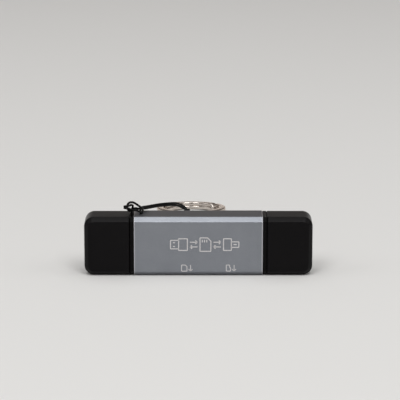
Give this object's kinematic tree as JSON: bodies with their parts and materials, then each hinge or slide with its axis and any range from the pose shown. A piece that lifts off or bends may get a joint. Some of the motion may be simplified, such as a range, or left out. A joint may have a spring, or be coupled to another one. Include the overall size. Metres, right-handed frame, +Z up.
{
  "type": "usb memory card reader",
  "caption": "Bar-shaped memory card reader: aluminium sleeve with card slots along one side, a capped plug at each end, and a strap with a split ring tied to its top.",
  "frame": {"origin": "centre of the bar's footprint, at table height", "axes": "+X along the bar from the type A plug to the type C plug, +Y from the front face to the back, +Z up from the card slots to the strap side"},
  "size_m": [0.076, 0.0965, 0.0236],
  "materials": {
    "anodised_aluminium": "bead-blasted, grey anodised",
    "black_plastic": "fine satin moulding",
    "board": "green solder mask",
    "plug_steel": "nickel-plated sheet",
    "white_plastic": "moulded",
    "gold_contact": "gold flash",
    "socket_plastic": "moulded",
    "chip_resin": "moulded resin",
    "capacitor_ceramic": "fired ceramic",
    "nickel": "nickel-plated spring steel",
    "strap": "black twisted cord with a slight sheen"
  },
  "bodies": {
    "reader": {"sleeve": "anodised_aluminium", "left_bezel": "black_plastic", "right_bezel": "black_plastic", "circuit_board": "board", "type_a_shell": "plug_steel", "type_a_tongue": "white_plastic", "type_a_contacts": "gold_contact", "type_c_shell": "plug_steel", "type_c_insert": "socket_plastic", "type_c_contacts": "gold_contact", "large_socket_body": "socket_plastic", "large_socket_cover": "plug_steel", "large_socket_contacts": "gold_contact", "small_socket_body": "socket_plastic", "small_socket_cover": "plug_steel", "small_socket_contacts": "gold_contact", "controller_chip": "chip_resin", "voltage_regulator": "chip_resin", "clock_crystal": "plug_steel", "chip_capacitors": "capacitor_ceramic", "chip_resistors": "chip_resin", "key_ring": "nickel", "strap_cord": "strap", "strap_turn": "strap", "strap_knot": "strap"},
    "left_cap": {"left_cap": "black_plastic"},
    "right_cap": {"right_cap": "black_plastic"}
  },
  "joints": [
    {"name": "left_cap_slide", "type": "slide", "parent": "reader", "child": "left_cap", "axis": [-1, 0, 0], "range_m": [0, 0.018]},
    {"name": "right_cap_slide", "type": "slide", "parent": "reader", "child": "right_cap", "axis": [1, 0, 0], "range_m": [0, 0.018]}
  ]
}
